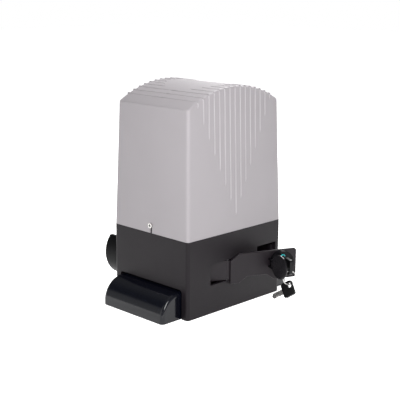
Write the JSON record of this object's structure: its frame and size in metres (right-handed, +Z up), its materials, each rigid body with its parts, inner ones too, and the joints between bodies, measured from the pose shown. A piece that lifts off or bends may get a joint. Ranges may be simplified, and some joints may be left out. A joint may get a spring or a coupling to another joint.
{
  "type": "sliding gate motor",
  "caption": "Sliding gate motor: ribbed domed cover on a moulded base, quarter-round foot covers, keyed release lever on the front and a guarded drive pinion behind.",
  "frame": {"origin": "centre of the four anchor slots on the mounting plane under the base", "axes": "+Z up; -Y is the front with the release lever; +Y is the drive side towards the gate; +X to the right seen from the front"},
  "size_m": [0.2556, 0.2567, 0.3085],
  "materials": {
    "cover_grey": "satin moulded light grey",
    "base_black": "fine moulded charcoal",
    "foot_black": "gloss black",
    "lever_black": "satin moulded black",
    "lock_black": "gloss black",
    "key_black": "moulded black",
    "steel": "turned steel",
    "nickel": "nickel plate",
    "bronze": "machined bronze",
    "cast_alloy": "as cast",
    "motor_steel": "dark paint",
    "board_green": "solder mask",
    "white_plastic": "moulded",
    "relay_blue": "moulded",
    "seal_rubber": "moulded rubber"
  },
  "bodies": {
    "base": {"cover": "cover_grey", "cover_screws": "steel", "vent_plug": "seal_rubber", "base_housing": "base_black", "foot_cover_right": "foot_black", "foot_cover_left": "foot_black", "lever_pin": "steel", "pinion_guard": "base_black", "guard_screws": "steel", "gearbox_case": "cast_alloy", "shaft_bearings": "steel", "oil_seal": "seal_rubber", "motor_stator": "motor_steel", "motor_end_bell": "cast_alloy", "motor_bolts": "steel", "capacitor": "white_plastic", "capacitor_holder": "base_black", "transformer": "motor_steel", "control_board": "board_green", "board_tray": "base_black", "terminal_blocks": "white_plastic", "board_relays": "relay_blue", "limit_sensor": "base_black", "cable_gland": "seal_rubber"},
    "lever": {"release_lever": "lever_black", "lock_body": "lock_black", "lock_nut": "steel", "flap_pin": "steel"},
    "flap": {"lock_flap": "lock_black"},
    "plug": {"lock_plug": "steel", "lock_cam": "steel", "key_bow": "key_black", "key_blade": "nickel"},
    "ring": {"key_ring": "nickel"},
    "spare_key": {"spare_key_bow": "key_black", "spare_key_blade": "nickel"},
    "output": {"output_shaft": "steel", "drive_pinion": "steel", "worm_wheel": "bronze", "pinion_retainer": "steel"},
    "rotor": {"worm_shaft": "steel", "rotor_core": "motor_steel"}
  },
  "joints": [
    {"name": "lever_swing", "type": "hinge", "parent": "base", "child": "lever", "pos_m": [-0.0153, -0.0713, 0.055], "axis": [0, 0, -1], "range_deg": [-24, 66]},
    {"name": "flap_swing", "type": "hinge", "parent": "lever", "child": "flap", "pos_m": [0.03503, -0.11068, 0.061], "axis": [0, 0, -1], "range_deg": [0, 30]},
    {"name": "key_turn", "type": "hinge", "parent": "lever", "child": "plug", "pos_m": [0.05077, -0.11714, 0.061], "axis": [-0.4067, -0.9135, 0], "range_deg": [0, 90]},
    {"name": "ring_swing", "type": "hinge", "parent": "plug", "child": "ring", "pos_m": [0.04243, -0.13586, 0.0549], "axis": [-0.9135, 0.4067, 0], "range_deg": [-3, 45]},
    {"name": "spare_key_swing", "type": "hinge", "parent": "ring", "child": "spare_key", "pos_m": [0.04243, -0.13586, 0.0357], "axis": [-0.9135, 0.4067, 0], "range_deg": [-3, 15]},
    {"name": "output_spin", "type": "hinge", "parent": "base", "child": "output", "pos_m": [-0.048, 0.018, 0.058], "axis": [0, 1, 0], "continuous": true},
    {"name": "rotor_spin", "type": "hinge", "parent": "base", "child": "rotor", "pos_m": [-0.014, 0.018, 0.15], "axis": [0, 0, 1], "continuous": true}
  ],
  "couplings": [
    {"joint": "rotor_spin", "follows": "output_spin", "ratio": 30}
  ]
}
